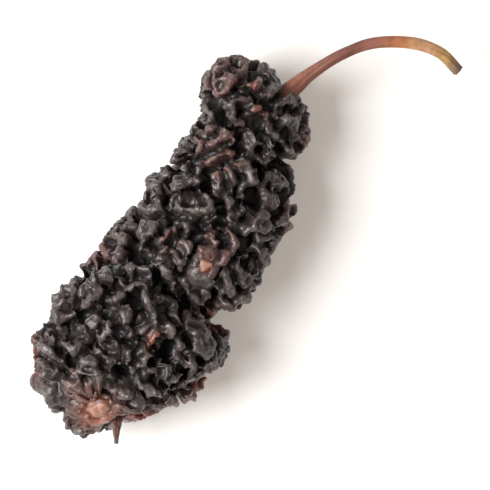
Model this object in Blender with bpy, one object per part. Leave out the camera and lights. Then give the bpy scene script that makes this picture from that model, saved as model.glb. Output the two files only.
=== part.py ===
"""A dried black mulberry, picked with its stalk and lying on its side.

The fruit is one body: a soft axis with some ninety drupelets grown together on it. Drying has sunk the
middle of each drupelet and left a creased rim round it. The stalk runs into a socket at one end, three
seeds look out where the skin has split, and a dry style stands at the tip.

Lengths are in millimetres until an object is made, when they turn to metres. +X runs from the free tip to
the stalk and +Z is up. The origin is on the floor, under the middle of the berry.
"""

import math
import random

import bmesh
import bpy
from mathutils import Matrix, Vector

METRES_PER_MM = 0.001

# The body's outer form, as stations from the tip to the stalk: x, y, height z and half width.
STATIONS = (
    (-11.2, 0.9, 3.2, 0.0),
    (-10.4, 1.05, 3.3, 2.25),
    (-8.7, 0.8, 3.6, 3.75),
    (-6.2, 0.35, 3.75, 4.35),
    (-4.2, -0.05, 3.7, 4.45),
    (-2.7, 0.3, 3.3, 3.85),
    (-0.6, -0.5, 3.4, 4.1),
    (2.0, -0.9, 3.4, 3.6),
    (4.4, -0.9, 3.3, 3.5),
    (6.1, -0.5, 3.15, 3.05),
    (8.0, -0.4, 3.15, 3.2),
    (9.5, 0.1, 3.2, 2.4),
    (10.25, 0.5, 3.2, 0.0),
)
FLATTENING = 0.88  # the body's height as a share of its width

# Creases where the flesh shrank most: x at the middle, slant, angle round the body, reach and depth.
CREASES = (
    (-1.8, 1.0, 125, 65, 0.8),
    (5.5, -0.4, 150, 60, 0.4),
    (5.5, 0.0, 10, 60, 0.25),
    (-2.9, 0.2, 265, 60, 0.4),
)
CREASE_WIDTH = 0.8

DRUPELETS = 92
DRUPELET_HALF_WIDTH = 1.36
DRUPELET_HALF_HEIGHT = 1.3
DRUPELET_SINK = 0.95  # how far its middle lies below the outer form
DRUPELET_SIDES = 10
DRUPELET_RINGS = 6
RING_CROWDING = 1.25  # over 1, the rings stand closer together on the side that shows
GOLDEN_ANGLE = math.radians(137.508)
SPIRAL_START = 1.76

# How the drupelets differ. The spreads are either side of even, and the pairs are least and most.
SEED = 1875
ALONG_SPREAD = 0.1
AROUND_SPREAD = 0.16
SINK_SPREAD = 0.12
LEAN_SPREAD = 0.14
WIDTH_SHARES = (0.84, 1.14)
BREADTH_SHARES = (0.78, 0.98)
HEIGHT_SHARES = (0.88, 1.15)
CUP_LEANS = (0.0, 0.45)
CUP_DEPTHS = (0.22, 0.5)
CUP_REACH = 0.62  # in radians from the cup's middle, like the next two
RIM_AWAY = 1.15
RIM_REACH = 0.55
FOLD_COUNTS = (3, 4, 5)
FOLD_TWIST = 0.9
FOLD_HEIGHTS = (0.07, 0.16)
PRESSED = 0.75  # under the berry, the share of each drupelet's cup that its weight has pressed out

CORE_SINK = 0.95  # how far the axis's own flesh lies below the outer form
CORE_SIDES = 18
CORE_RINGS = 28

# Where the seeds look out: x, the angle round the body, and the angle that each is turned through.
SEED_PLACES = {
    "seed_side": (-0.8, 109, 35),
    "seed_tip": (-10.45, 119, 70),
    "seed_under": (3.2, -39, 120),
}
SEED_HALF_SIZE = (1.05, 0.82, 0.58)  # length, width and thickness
SEED_TAPER = 0.18  # how much narrower its far end is than its middle, as a share
SEED_SIDES = 16
SEED_RINGS = 10
SEED_SINK = 0.75
SEED_CLEARANCE = 0.12
SEED_ROOM = 1.15  # no drupelet stands nearer than this to a seed
PIT_HEIGHT = 2.0

# The stalk's route as x, y, height z and radius.
STALK_ROUTE = (
    (8.4, -0.75, 3.45, 0.46),
    (9.6, -1.45, 3.5, 0.48),
    (10.9, -2.08, 3.75, 0.33),
    (12.5, -3.13, 4.15, 0.28),
    (13.85, -4.45, 4.35, 0.29),
    (14.72, -6.25, 4.2, 0.31),
    (14.9, -7.8, 3.75, 0.31),
    (14.5, -9.05, 3.3, 0.3),
)
STALK_POINTS = 33
STALK_CLEARANCE = 0.14

# The style's route, in the same way.
STYLE_ROUTE = (
    (-9.2, -1.15, 3.45, 0.26),
    (-9.9, -0.98, 3.9, 0.24),
    (-10.45, -1.12, 4.25, 0.19),
    (-11.1, -1.43, 4.6, 0.12),
)
STYLE_POINTS = 9
STYLE_CLEARANCE = 0.1
TUBE_SMOOTHNESS = 3

FLOOR_BLOCK = (40.0, 30.0, 6.0)
AREA_STEPS = 800
HALVINGS = 30
SMALL_STEP = 0.01
MERGE_MM = 0.001

COLOURS = {  # linear colour and roughness
    "fruit": ((0.012, 0.006, 0.007), 0.45),
    "stalk": ((0.38, 0.2, 0.08), 0.7),
    "seed": ((0.42, 0.22, 0.09), 0.5),
    "style": ((0.05, 0.018, 0.014), 0.7),
}


def spline(points, t):
    """The point at t on a Catmull-Rom curve through the points, where t counts the points."""
    last = len(points) - 1
    i = min(int(t), last - 1)
    near = (points[max(i - 1, 0)], points[i], points[i + 1], points[min(i + 2, last)])
    a, b, c, d = (Vector(p) for p in near)
    u = t - i
    return b + 0.5 * u * (c - a + u * (2 * a - 5 * b + 4 * c - d + u * (3 * (b - c) + d - a)))


def body_line(t):
    """The body's axis point and half width at t. A mirrored station past each end rounds it off."""
    first, last = STATIONS[1], STATIONS[-2]
    whole = [(*first[:3], -first[3]), *STATIONS, (*last[:3], -last[3])]
    x, y, z, half_width = spline(whole, t + 1)
    return Vector((x, y, z)), max(half_width, 0.0)


def body_point(t, angle):
    """A point on the outer form: t runs from tip to stalk, and angle goes round from +Y over the top."""
    centre, half_width = body_line(t)
    return centre + half_width * Vector((0, math.cos(angle), FLATTENING * math.sin(angle)))


def body_normal(t, angle):
    step = SMALL_STEP
    t = min(max(t, 2 * step), len(STATIONS) - 1 - 2 * step)
    along = body_point(t + step, angle) - body_point(t - step, angle)
    around = body_point(t, angle + step) - body_point(t, angle - step)
    return around.cross(along).normalized()


def crease_depth(x, angle):
    """How far the shrunken flesh lies below the outer form at this place."""
    depth = 0.0
    for middle, slant, towards, reach, most in CREASES:
        off = math.remainder(angle - math.radians(towards), math.tau) / math.radians(reach)
        gap = (x - middle - slant * math.cos(angle)) / CREASE_WIDTH
        depth += most * math.exp(-gap * gap - off * off)
    return depth


def t_at(x):
    """Where along the body its axis passes this x."""
    low, high = 0.0, float(len(STATIONS) - 1)
    for _ in range(HALVINGS):
        middle = (low + high) / 2
        if body_line(middle)[0].x < x:
            low = middle
        else:
            high = middle
    return low


def even_places(count):
    """Values of t that share the outer form's area evenly among count places."""
    end = len(STATIONS) - 1
    areas = [0.0]
    before, before_width = body_line(0)
    for i in range(1, AREA_STEPS + 1):
        here, width = body_line(end * i / AREA_STEPS)
        side = math.hypot((here - before).length, width - before_width)
        areas.append(areas[-1] + side * (width + before_width))
        before, before_width = here, width
    places = []
    i = 0
    for k in range(count):
        wanted = areas[-1] * (k + 0.5) / count
        while areas[i + 1] < wanted:
            i += 1
        places.append(end * (i + (wanted - areas[i]) / (areas[i + 1] - areas[i])) / AREA_STEPS)
    return places


def seed_stand(place):
    """The matrix that lays a seed on the body, its flat side outwards."""
    x, angle, turn = place
    t, angle = t_at(x), math.radians(angle)
    surface, normal = body_point(t, angle), body_normal(t, angle)
    upright = normal.to_track_quat("Z", "Y").to_matrix().to_4x4()
    middle = surface - normal * SEED_SINK
    return Matrix.Translation(middle) @ upright @ Matrix.Rotation(math.radians(turn), 4, "Z")


def drupelet_plan():
    """Each drupelet's place and form. They stand in a golden-angle spiral, as the flowers did."""
    rng = random.Random(SEED)
    seeds = [seed_stand(place).translation for place in SEED_PLACES.values()]
    plan = []
    for k, t in enumerate(even_places(DRUPELETS)):
        t += rng.uniform(-ALONG_SPREAD, ALONG_SPREAD)
        t = min(max(t, 2 * SMALL_STEP), len(STATIONS) - 1 - 2 * SMALL_STEP)
        angle = (SPIRAL_START + k * GOLDEN_ANGLE + rng.uniform(-AROUND_SPREAD, AROUND_SPREAD)) % math.tau
        surface, normal = body_point(t, angle), body_normal(t, angle)
        sink = DRUPELET_SINK + crease_depth(surface.x, angle) + rng.gauss(0, SINK_SPREAD)
        lean = Vector([rng.gauss(0, LEAN_SPREAD) for _ in range(3)])
        half_width = DRUPELET_HALF_WIDTH * rng.uniform(*WIDTH_SHARES)
        form = {
            "middle": surface - normal * sink,
            "axis": (normal + lean).normalized(),
            "spin": rng.uniform(0, math.tau),
            "half_size": (
                half_width,
                half_width * rng.uniform(*BREADTH_SHARES),
                DRUPELET_HALF_HEIGHT * rng.uniform(*HEIGHT_SHARES),
            ),
            "cup_lean": rng.uniform(*CUP_LEANS),
            "cup_depth": rng.uniform(*CUP_DEPTHS) * (1 - PRESSED * max(-normal.z, 0) ** 4),
            "folds": rng.choice(FOLD_COUNTS),
            "fold_turn": rng.uniform(0, math.tau),
            "fold_twist": rng.uniform(-FOLD_TWIST, FOLD_TWIST),
            "fold_height": rng.uniform(*FOLD_HEIGHTS),
        }
        if all((form["middle"] - seed).length > SEED_ROOM for seed in seeds):
            plan.append(form)
    return plan


def puckered(direction, form):
    """How far the dried skin stands out in this direction, as a share of the round drupelet."""
    cup_axis = Vector((math.sin(form["cup_lean"]), 0, math.cos(form["cup_lean"])))
    away = direction.angle(cup_axis)
    cup = form["cup_depth"] * math.exp(-((away / CUP_REACH) ** 2))
    turn = math.atan2(direction.y, direction.x) + form["fold_twist"] * away
    fold = 1 - 2 * abs(math.sin(form["folds"] / 2 * (turn + form["fold_turn"])))
    rim = math.exp(-(((away - RIM_AWAY) / RIM_REACH) ** 2))
    return 1 - cup + form["fold_height"] * fold * rim


def add_drupelet(form, index, collection):
    bm = bmesh.new()
    bmesh.ops.create_uvsphere(bm, u_segments=DRUPELET_SIDES, v_segments=DRUPELET_RINGS, radius=1)
    for vert in bm.verts:
        away = math.pi * (vert.co.angle(Vector((0, 0, 1))) / math.pi) ** RING_CROWDING
        turn = math.atan2(vert.co.y, vert.co.x)
        vert.co = Vector((math.sin(away) * math.cos(turn), math.sin(away) * math.sin(turn), math.cos(away)))
        vert.co *= puckered(vert.co, form)
    upright = form["axis"].to_track_quat("Z", "Y").to_matrix().to_4x4()
    spin = Matrix.Rotation(form["spin"], 4, "Z")
    size = Matrix.Diagonal((*form["half_size"], 1))
    bm.transform(Matrix.Translation(form["middle"]) @ upright @ spin @ size)
    return add_object(f"drupelet_{index}", bm, collection)


def add_core(collection):
    """The fleshy axis inside, which the drupelets stand out of."""
    end = len(STATIONS) - 1
    bm = bmesh.new()
    bmesh.ops.create_uvsphere(bm, u_segments=CORE_SIDES, v_segments=CORE_RINGS, radius=1)
    for vert in bm.verts:
        t = end * math.acos(min(max(-vert.co.z, -1), 1)) / math.pi
        angle = math.atan2(vert.co.y, vert.co.x)
        sink = CORE_SINK + crease_depth(body_point(t, angle).x, angle)
        vert.co = body_point(t, angle) - body_normal(t, angle) * sink
    bmesh.ops.recalc_face_normals(bm, faces=bm.faces)
    return add_object("fruit", bm, collection)


def add_object(name, bm, collection):
    """The finished millimetre mesh as an object in metres."""
    bmesh.ops.scale(bm, verts=bm.verts, vec=(METRES_PER_MM,) * 3)
    mesh = bpy.data.meshes.new(name)
    bm.to_mesh(mesh)
    bm.free()
    mesh.shade_smooth()
    obj = bpy.data.objects.new(name, mesh)
    collection.objects.link(obj)
    return obj


def add_tube(name, route, count, clearance, collection):
    """A curve along the route, as thick as the route says, wider by the clearance and longer at its start."""
    first, second = Vector(route[0]).xyz, Vector(route[1]).xyz
    start = first + (first - second).normalized() * clearance
    points = [spline(route, (len(route) - 1) * i / (count - 1)) for i in range(count)]
    points[0].xyz = start
    curve = bpy.data.curves.new(name, "CURVE")
    curve.dimensions = "3D"
    curve.bevel_depth = METRES_PER_MM
    curve.bevel_resolution = TUBE_SMOOTHNESS
    curve.use_fill_caps = True
    line = curve.splines.new("POLY")
    line.points.add(count - 1)
    for point, place in zip(line.points, points):
        point.co = (*(place.xyz * METRES_PER_MM), 1)
        point.radius = place[3] + clearance
    line.use_smooth = True
    obj = bpy.data.objects.new(name, curve)
    collection.objects.link(obj)
    return obj


def as_mesh(curve_object, collection):
    """The curve's mesh with its caps joined on, as a new object in place of the curve."""
    bpy.context.view_layer.update()
    evaluated = curve_object.evaluated_get(bpy.context.evaluated_depsgraph_get())
    mesh = bpy.data.meshes.new_from_object(evaluated)
    bm = bmesh.new()
    bm.from_mesh(mesh)
    bmesh.ops.remove_doubles(bm, verts=bm.verts, dist=METRES_PER_MM * MERGE_MM)
    bmesh.ops.recalc_face_normals(bm, faces=bm.faces)
    bm.to_mesh(mesh)
    bm.free()
    name = curve_object.name
    matrix = curve_object.matrix_world.copy()
    bpy.data.objects.remove(curve_object)
    obj = bpy.data.objects.new(name, mesh)
    obj.matrix_world = matrix
    collection.objects.link(obj)
    return obj


def seed_form(half_size):
    """A flat, rounded seed about the origin, one end narrower than the other."""
    bm = bmesh.new()
    bmesh.ops.create_uvsphere(bm, u_segments=SEED_SIDES, v_segments=SEED_RINGS, radius=1)
    for vert in bm.verts:
        vert.co.y *= 1 - SEED_TAPER * vert.co.x
    bmesh.ops.scale(bm, verts=bm.verts, vec=half_size)
    return bm


def add_seed(name, place, collection):
    bm = seed_form(SEED_HALF_SIZE)
    bm.transform(seed_stand(place))
    return add_object(name, bm, collection)


def add_seed_pit(name, place, collection):
    """What is cut away for a seed: its own form with room round it, open to the outside."""
    half_size = [half + SEED_CLEARANCE for half in SEED_HALF_SIZE]
    bm = seed_form(half_size)
    for vert in bm.verts:
        if vert.co.z > 0:
            vert.co.z *= PIT_HEIGHT / half_size[2]
    bm.transform(seed_stand(place))
    return add_object(name, bm, collection)


def add_floor_block(collection):
    """What is cut away below the floor, so that the soft fruit lies flat on it."""
    bm = bmesh.new()
    bmesh.ops.create_cube(bm, size=1)
    bmesh.ops.scale(bm, verts=bm.verts, vec=FLOOR_BLOCK)
    bmesh.ops.translate(bm, verts=bm.verts, vec=(0, 0, -FLOOR_BLOCK[2] / 2))
    return add_object("floor_block", bm, collection)


def apply_boolean(obj, collection, operation, solver):
    """The collection's solids joined to the object or cut from it, and then removed."""
    boolean = obj.modifiers.new(operation.lower(), "BOOLEAN")
    boolean.operand_type = "COLLECTION"
    boolean.collection = collection
    boolean.operation = operation
    boolean.solver = solver
    bpy.context.view_layer.update()
    evaluated = obj.evaluated_get(bpy.context.evaluated_depsgraph_get())
    mesh = bpy.data.meshes.new_from_object(evaluated)
    obj.modifiers.remove(boolean)
    obj.data = mesh
    for other in list(collection.objects):
        bpy.data.objects.remove(other)


def keep_outer_skin(mesh):
    """Leaves only the largest connected surface, so that loose scraps go and sealed hollows are filled."""
    bm = bmesh.new()
    bm.from_mesh(mesh)
    left = set(bm.verts)
    pieces = []
    while left:
        piece = [left.pop()]
        for vert in piece:
            for edge in vert.link_edges:
                other = edge.other_vert(vert)
                if other in left:
                    left.discard(other)
                    piece.append(other)
        pieces.append(piece)
    largest = max(pieces, key=len)
    for piece in pieces:
        if piece is not largest:
            bmesh.ops.delete(bm, geom=piece, context="VERTS")
    bm.to_mesh(mesh)
    bm.free()


def new_collection(name):
    collection = bpy.data.collections.new(name)
    bpy.context.scene.collection.children.link(collection)
    return collection


def finish(obj, kind):
    """Gives the object a material of its own."""
    colour, roughness = COLOURS[kind]
    material = bpy.data.materials.new(obj.name)
    material.use_nodes = True
    shader = material.node_tree.nodes["Principled BSDF"]
    shader.inputs["Base Color"].default_value = (*colour, 1)
    shader.inputs["Roughness"].default_value = roughness
    shader.inputs["Metallic"].default_value = 0
    obj.data.materials.clear()
    obj.data.materials.append(material)


def main():
    for obj in list(bpy.data.objects):
        bpy.data.objects.remove(obj)
    parts = new_collection("dried_mulberry")
    lumps = new_collection("drupelets")
    cutters = new_collection("cutters")

    fruit = add_core(parts)
    for index, form in enumerate(drupelet_plan()):
        add_drupelet(form, index, lumps)
    apply_boolean(fruit, lumps, "UNION", "EXACT")

    add_floor_block(cutters)
    for name, place in SEED_PLACES.items():
        add_seed_pit(f"{name}_pit", place, cutters)
    socket = add_tube("stalk_socket", STALK_ROUTE, STALK_POINTS, STALK_CLEARANCE, parts)
    as_mesh(socket, cutters)
    socket = add_tube("style_socket", STYLE_ROUTE, STYLE_POINTS, STYLE_CLEARANCE, parts)
    as_mesh(socket, cutters)
    apply_boolean(fruit, cutters, "DIFFERENCE", "EXACT")
    keep_outer_skin(fruit.data)
    finish(fruit, "fruit")

    finish(add_tube("stalk", STALK_ROUTE, STALK_POINTS, 0, parts), "stalk")
    finish(add_tube("style", STYLE_ROUTE, STYLE_POINTS, 0, parts), "style")
    for name, place in SEED_PLACES.items():
        finish(add_seed(name, place, parts), "seed")


main()
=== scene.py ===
# %% [markdown]
# # A dried black mulberry
#
# A mulberry is some ninety small fruits, the drupelets, grown together on one soft axis. Drying takes nearly
# all their water, and the skin, which doesn't shrink as much as what it holds, sinks in and folds.
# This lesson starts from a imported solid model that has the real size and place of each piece, and gives
# every piece its fine form and its finish. The solid model is loaded first, because all the rest is set
# against it.

# %% Load the solid model
import math
import random

import bmesh
import bpy
import numpy as np
from mathutils import Matrix, Vector, noise


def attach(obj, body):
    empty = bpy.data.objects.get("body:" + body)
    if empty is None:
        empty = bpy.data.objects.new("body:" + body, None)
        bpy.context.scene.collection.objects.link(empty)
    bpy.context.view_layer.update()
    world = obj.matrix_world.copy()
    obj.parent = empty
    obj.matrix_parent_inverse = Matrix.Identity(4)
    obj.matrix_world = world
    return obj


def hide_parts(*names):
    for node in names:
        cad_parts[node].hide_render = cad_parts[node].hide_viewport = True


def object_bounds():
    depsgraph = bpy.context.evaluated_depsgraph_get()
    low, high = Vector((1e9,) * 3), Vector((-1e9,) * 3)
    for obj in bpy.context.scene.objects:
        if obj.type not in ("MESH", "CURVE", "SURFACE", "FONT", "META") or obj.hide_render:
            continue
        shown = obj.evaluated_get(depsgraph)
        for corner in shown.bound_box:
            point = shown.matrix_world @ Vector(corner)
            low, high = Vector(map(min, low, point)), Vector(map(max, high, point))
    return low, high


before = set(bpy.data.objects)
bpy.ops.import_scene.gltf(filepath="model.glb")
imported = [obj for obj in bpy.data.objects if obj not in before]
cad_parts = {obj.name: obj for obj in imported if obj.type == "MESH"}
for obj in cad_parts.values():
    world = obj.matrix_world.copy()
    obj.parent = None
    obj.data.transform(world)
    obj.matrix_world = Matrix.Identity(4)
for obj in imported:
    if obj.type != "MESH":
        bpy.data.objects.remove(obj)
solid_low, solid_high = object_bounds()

print("pieces in the solid model:", sorted(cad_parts))

# %% [markdown]
# ## Units and colours
#
# The solid model is in metres, but a berry is easier to think of in millimetres, so every shape below is
# made in millimetres and scaled once at its end. Colours are written as the hex values that a picture
# editor shows, and one function turns them to the linear values that Blender's sockets take.

# %% Small helpers
MM = 0.001


def linear(hex_colour):
    """The linear colour of an sRGB hex value such as #1b1416."""
    parts = [int(hex_colour[i:i + 2], 16) / 255 for i in (1, 3, 5)]
    return [p / 12.92 if p <= 0.04045 else ((p + 0.055) / 1.055) ** 2.4 for p in parts] + [1]


def smoothstep(low, high, value):
    """A smooth rise from 0 at low to 1 at high, or a fall where high is the lower of the two."""
    share = np.clip((value - low) / (high - low), 0, 1)
    return share * share * (3 - 2 * share)


def finished(name, bm, replaced):
    """The piece that a bmesh in millimetres makes. It rides on the berry in place of the solid one."""
    bmesh.ops.scale(bm, verts=bm.verts, vec=(MM, MM, MM))
    mesh = bpy.data.meshes.new(name)
    bm.to_mesh(mesh)
    bm.free()
    mesh.shade_smooth()
    piece = bpy.data.objects.new(name, mesh)
    bpy.context.scene.collection.objects.link(piece)
    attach(piece, "root")
    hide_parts(replaced)
    print(name, len(mesh.polygons), "faces")
    return piece


print("the middle grey #808080 is", round(linear("#808080")[0], 3), "in linear light")

# %% [markdown]
# ## The berry's outer form
#
# The berry is three soft lobes in a row, pinched where the axis dried most. A loft through sections would
# do, but the drupelets need a place and a direction anywhere on the form. So the form is a smooth curve
# through stations, each with a half width, and a function gives the point at any place along and round it.
# These are the same stations and the same rule that the solid model was built by.

# %% The outer form
STATIONS = (  # from the tip to the stalk: x, y, height z and half width
    (-11.2, 0.9, 3.2, 0.0), (-10.4, 1.05, 3.3, 2.25), (-8.7, 0.8, 3.6, 3.75), (-6.2, 0.35, 3.75, 4.35),
    (-4.2, -0.05, 3.7, 4.45), (-2.7, 0.3, 3.3, 3.85), (-0.6, -0.5, 3.4, 4.1), (2.0, -0.9, 3.4, 3.6),
    (4.4, -0.9, 3.3, 3.5), (6.1, -0.5, 3.15, 3.05), (8.0, -0.4, 3.15, 3.2), (9.5, 0.1, 3.2, 2.4),
    (10.25, 0.5, 3.2, 0.0),
)
FLATTENING = 0.88  # the body's height as a share of its width
CREASES = (  # x at the middle, slant, angle round the body, reach and depth
    (-1.8, 1.0, 125, 65, 0.8), (5.5, -0.4, 150, 60, 0.4),
    (5.5, 0.0, 10, 60, 0.25), (-2.9, 0.2, 265, 60, 0.4),
)
CREASE_WIDTH = 0.8
HALVINGS = 30  # of the range in a search
END_ROOM = 0.02  # how near an end t may come


def spline(points, t):
    """The point at t on a smooth curve through the points, where t counts the points."""
    last = len(points) - 1
    i = min(int(t), last - 1)
    near = (points[max(i - 1, 0)], points[i], points[i + 1], points[min(i + 2, last)])
    a, b, c, d = (Vector(p) for p in near)
    u = t - i
    return b + 0.5 * u * (c - a + u * (2 * a - 5 * b + 4 * c - d + u * (3 * (b - c) + d - a)))


def body_line(t):
    """The body's axis point and half width at t. A mirrored station past each end rounds it off."""
    first, last = STATIONS[1], STATIONS[-2]
    whole = [(*first[:3], -first[3]), *STATIONS, (*last[:3], -last[3])]
    x, y, z, half_width = spline(whole, t + 1)
    return Vector((x, y, z)), max(half_width, 0.0)


def body_point(t, angle):
    """A point on the outer form: t runs from tip to stalk, and angle goes round from +Y over the top."""
    centre, half_width = body_line(t)
    return centre + half_width * Vector((0, math.cos(angle), FLATTENING * math.sin(angle)))


def body_normal(t, angle):
    """The direction straight out of the outer form at this point."""
    step = 0.01
    t = min(max(t, 2 * step), len(STATIONS) - 1 - 2 * step)
    along = body_point(t + step, angle) - body_point(t - step, angle)
    around = body_point(t, angle + step) - body_point(t, angle - step)
    return around.cross(along).normalized()


def crease_depth(x, angle):
    """How far the shrunken flesh lies below the outer form at this place."""
    depth = 0.0
    for middle, slant, towards, reach, most in CREASES:
        off = math.remainder(angle - math.radians(towards), math.tau) / math.radians(reach)
        gap = (x - middle - slant * math.cos(angle)) / CREASE_WIDTH
        depth += most * math.exp(-gap * gap - off * off)
    return depth


def t_at(x):
    """Where along the body its axis passes this x."""
    low, high = 0.0, float(len(STATIONS) - 1)
    for _ in range(HALVINGS):
        middle = (low + high) / 2
        if body_line(middle)[0].x < x:
            low = middle
        else:
            high = middle
    return low


print("the outer form is", round(STATIONS[-1][0] - STATIONS[0][0], 1), "mm long")

# %% [markdown]
# ## Where the drupelets and seeds stand
#
# A mulberry's flowers open in a spiral, each turned by the golden angle from the one before, and the
# drupelets keep that order. Even shares of the form's area give each one the same room. The sizes, leans
# and folds are drawn from one seeded generator, in the order that the solid model draws them, so that each
# fine drupelet lands on its plain one.

# %% Plan the drupelets
DRUPELETS = 92
DRUPELET_HALF_WIDTH, DRUPELET_HALF_HEIGHT = 1.36, 1.3
DRUPELET_SINK = 0.95  # sinks are how far the middle lies below the outer form
GOLDEN_ANGLE, SPIRAL_START = math.radians(137.508), 1.76
SEED = 1875  # the solid model's
ALONG_SPREAD, AROUND_SPREAD = 0.1, 0.16
SINK_SPREAD, LEAN_SPREAD = 0.12, 0.14
WIDTH_SHARES, BREADTH_SHARES = (0.84, 1.14), (0.78, 0.98)  # in each pair the least and the most
HEIGHT_SHARES = (0.88, 1.15)
CUP_LEANS, CUP_DEPTHS = (0.0, 0.45), (0.22, 0.5)
FOLD_COUNTS, FOLD_HEIGHTS, FOLD_TWIST = (3, 4, 5), (0.07, 0.16), 0.9
PRESSED = 0.75  # the share of a cup that the berry's weight presses out underneath
SEED_PLACES = {  # x, the angle round the body, and the angle that each is turned through
    "seed_side": (-0.8, 109, 35),
    "seed_tip": (-10.45, 119, 70),
    "seed_under": (3.2, -39, 120),
}
SEED_HALF_SIZE = (1.05, 0.82, 0.58)  # length, width and thickness
SEED_SINK = 0.75
SEED_ROOM = 1.15  # no drupelet stands nearer than this to a seed


def even_places(count):
    """Values of t that share the outer form's area evenly among count places."""
    steps = 800
    end = len(STATIONS) - 1
    areas = [0.0]
    before, before_width = body_line(0)
    for i in range(1, steps + 1):
        here, width = body_line(end * i / steps)
        side = math.hypot((here - before).length, width - before_width)
        areas.append(areas[-1] + side * (width + before_width))
        before, before_width = here, width
    places = []
    i = 0
    for k in range(count):
        wanted = areas[-1] * (k + 0.5) / count
        while areas[i + 1] < wanted:
            i += 1
        places.append(end * (i + (wanted - areas[i]) / (areas[i + 1] - areas[i])) / steps)
    return places


def seed_stand(place):
    """The matrix that lays a seed on the body, its flat side outwards."""
    x, angle, turn = place
    t, angle = t_at(x), math.radians(angle)
    surface, normal = body_point(t, angle), body_normal(t, angle)
    upright = normal.to_track_quat("Z", "Y").to_matrix().to_4x4()
    middle = surface - normal * SEED_SINK
    return Matrix.Translation(middle) @ upright @ Matrix.Rotation(math.radians(turn), 4, "Z")


def drupelet_plan():
    """The size, place and folds of every drupelet, drawn in the solid model's order."""
    rng = random.Random(SEED)
    seeds = [seed_stand(place).translation for place in SEED_PLACES.values()]
    plan = []
    for k, t in enumerate(even_places(DRUPELETS)):
        t = min(max(t + rng.uniform(-ALONG_SPREAD, ALONG_SPREAD), END_ROOM), len(STATIONS) - 1 - END_ROOM)
        around = rng.uniform(-AROUND_SPREAD, AROUND_SPREAD)
        angle = (SPIRAL_START + k * GOLDEN_ANGLE + around) % math.tau
        surface, normal = body_point(t, angle), body_normal(t, angle)
        sink = DRUPELET_SINK + crease_depth(surface.x, angle) + rng.gauss(0, SINK_SPREAD)
        lean = Vector((rng.gauss(0, LEAN_SPREAD), rng.gauss(0, LEAN_SPREAD), rng.gauss(0, LEAN_SPREAD)))
        half_width = DRUPELET_HALF_WIDTH * rng.uniform(*WIDTH_SHARES)
        form = {
            "middle": surface - normal * sink,
            "axis": (normal + lean).normalized(),
            "spin": rng.uniform(0, math.tau),
            "half_size": (
                half_width,
                half_width * rng.uniform(*BREADTH_SHARES),
                DRUPELET_HALF_HEIGHT * rng.uniform(*HEIGHT_SHARES),
            ),
            "cup_lean": rng.uniform(*CUP_LEANS),
            "cup_depth": rng.uniform(*CUP_DEPTHS) * (1 - PRESSED * max(-normal.z, 0) ** 4),
            "folds": rng.choice(FOLD_COUNTS),
            "fold_turn": rng.uniform(0, math.tau),
            "fold_twist": rng.uniform(-FOLD_TWIST, FOLD_TWIST),
            "fold_height": rng.uniform(*FOLD_HEIGHTS),
        }
        if all((form["middle"] - seed).length > SEED_ROOM for seed in seeds):
            plan.append(form)
    return plan


plan = drupelet_plan()
print(len(plan), "drupelets have room beside the seeds")

# %% [markdown]
# ## The drupelets as one skin
#
# Each drupelet is a ball whose outer end has sunk to a cup with a puckered rim. A Boolean union of ninety
# fine balls is slow and leaves sharp seams, while the real skin runs on from one to the next. So the balls
# and the axis are put in one mesh and remeshed by voxels, which keeps only the outermost surface and gives
# it even faces, ready for the folds. No two drupelets dry alike, so a second generator gives each cup its
# own slit and low side. The seeds get a plain cover each, which is torn open further down.

# %% Model the plain drupelets
CUP_REACH, RIM_AWAY, RIM_REACH = 0.62, 1.15, 0.55  # in radians from the cup's middle
SLIT_MOST = 0.5  # how far a cup may be a slit instead of round
LOW_MOST = 0.16  # how much lower one side of a rim may be than its mean, as a share
COVER = 0.14  # how thick the skin and flesh over a seed are
CORE_SINK = 0.95  # of the axis's own flesh

habit_rng = random.Random(SEED + 1)
habits = [
    {
        "slit_turn": habit_rng.uniform(0, math.pi),
        "slit": habit_rng.uniform(0.0, SLIT_MOST),
        "low_turn": habit_rng.uniform(0, math.tau),
        "low": habit_rng.uniform(0.0, LOW_MOST),
    }
    for _ in plan
]


def collapsed(direction, form, habit):
    """How far the dried skin stands out in this direction, as a share of the round drupelet."""
    cup_axis = Vector((math.sin(form["cup_lean"]), 0, math.cos(form["cup_lean"])))
    away = direction.angle(cup_axis)
    turn = math.atan2(direction.y, direction.x)
    slit = 1 + habit["slit"] * math.cos(2 * (turn - habit["slit_turn"]))
    cup = form["cup_depth"] * math.exp(-((away * slit / CUP_REACH) ** 2))
    twisted = turn + form["fold_twist"] * away
    fold = 1 - 2 * abs(math.sin(form["folds"] / 2 * (twisted + form["fold_turn"])))
    low = habit["low"] * math.cos(turn - habit["low_turn"])
    rim = math.exp(-(((away - RIM_AWAY) / RIM_REACH) ** 2))
    return 1 - cup + (form["fold_height"] * fold + low) * rim


def drupelet_stand(form):
    """The matrix that puts a unit ball where the drupelet is, its +Z pointing out of the berry."""
    upright = form["axis"].to_track_quat("Z", "Y").to_matrix().to_4x4()
    spin = Matrix.Rotation(form["spin"], 4, "Z")
    return Matrix.Translation(form["middle"]) @ upright @ spin @ Matrix.Diagonal((*form["half_size"], 1))


def add_to_berry(ball):
    """Puts a bmesh in with what the berry has so far."""
    ball.to_mesh(piece_mesh)
    ball.free()
    berry.from_mesh(piece_mesh)


berry = bmesh.new()
piece_mesh = bpy.data.meshes.new("piece")
for form, habit in zip(plan, habits):
    ball = bmesh.new()
    bmesh.ops.create_uvsphere(ball, u_segments=32, v_segments=22, radius=1)
    for vert in ball.verts:
        vert.co *= collapsed(vert.co, form, habit)
    ball.transform(drupelet_stand(form))
    add_to_berry(ball)

for place in SEED_PLACES.values():
    cover = bmesh.new()
    bmesh.ops.create_uvsphere(cover, u_segments=32, v_segments=22, radius=1)
    covered = [half + COVER for half in SEED_HALF_SIZE]
    cover.transform(seed_stand(place) @ Matrix.Diagonal((*covered, 1)))
    add_to_berry(cover)

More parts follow.
